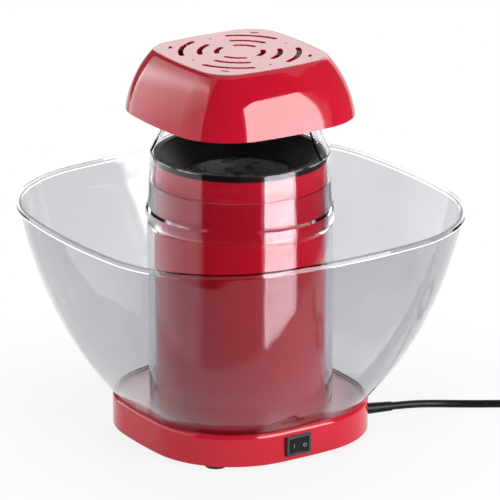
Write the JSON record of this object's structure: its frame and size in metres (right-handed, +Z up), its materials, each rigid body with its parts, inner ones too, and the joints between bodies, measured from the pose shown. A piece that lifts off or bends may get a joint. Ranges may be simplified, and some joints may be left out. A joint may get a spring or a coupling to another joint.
{
  "type": "popcorn maker",
  "caption": "Hot-air popcorn maker with a square base, a round tower with popping chamber and fan, a lift-off clear bowl and a vented lift-off lid.",
  "frame": {"origin": "on the standing surface, at the centre of the bowl's outline, on the axis of the tower", "axes": "+Z up along the tower's axis, -Y to the front with the rocker switch, +X to the side where the mains lead leaves"},
  "size_m": [0.4883, 0.3341, 0.293],
  "materials": {
    "red_gloss": "polished red moulding",
    "black_matte": "fine-grained black moulding",
    "black_gloss": "satin black moulding",
    "black_phenolic": "phenolic moulding",
    "white_nylon": "glass-filled nylon",
    "clear_plastic": "clear polished moulding",
    "foot_rubber": "matt rubber",
    "cord_rubber": "smooth flexible sheath",
    "zinc_steel": "zinc plated",
    "motor_steel": "plated can",
    "chamber_aluminium": "drawn and brushed",
    "duct_aluminium": "mill finish",
    "heater_alloy": "oxidised resistance wire",
    "mica": "mica board",
    "circuit_board": "phenolic paper board",
    "fuse_can": "plain",
    "tinned_brass": "nickel plated"
  },
  "bodies": {
    "base": {"base_housing": "red_gloss", "bottom_cover": "black_matte", "rubber_feet": "foot_rubber", "cover_screws": "zinc_steel", "tower_casing": "red_gloss", "tower_screws": "zinc_steel", "chamber_collar": "black_matte", "popping_chamber": "chamber_aluminium", "heater_duct": "duct_aluminium", "fan_shroud": "white_nylon", "heater_former": "mica", "heater_coil": "heater_alloy", "motor": "motor_steel", "motor_screws": "zinc_steel", "rectifier_board": "circuit_board", "thermostat": "black_phenolic", "thermal_fuse": "fuse_can", "switch_housing": "black_gloss", "switch_terminals": "tinned_brass", "cord_gland": "cord_rubber", "power_cord": "cord_rubber", "cord_coil": "cord_rubber", "coil_tie": "black_matte", "plug_body": "cord_rubber", "plug_pins": "tinned_brass"},
    "fan": {"fan_impeller": "white_nylon", "motor_shaft": "motor_steel"},
    "rocker": {"switch_rocker": "black_gloss"},
    "bowl": {"bowl": "clear_plastic"},
    "lid": {"lid_cap": "red_gloss", "chute_sleeve": "clear_plastic"}
  },
  "joints": [
    {"name": "fan_spin", "type": "hinge", "parent": "base", "child": "fan", "pos_m": [0, 0, 0.05], "axis": [0, 0, 1], "continuous": true},
    {"name": "rocker_tilt", "type": "hinge", "parent": "base", "child": "rocker", "pos_m": [-0.0074, -0.0884, 0.0146], "axis": [0, 0, 1], "range_deg": [0, 20]},
    {"name": "bowl_lift", "type": "slide", "parent": "base", "child": "bowl", "axis": [0, 0, 1], "range_m": [0, 0.2]},
    {"name": "lid_lift", "type": "slide", "parent": "bowl", "child": "lid", "axis": [0, 0, 1], "range_m": [0, 0.1]}
  ]
}
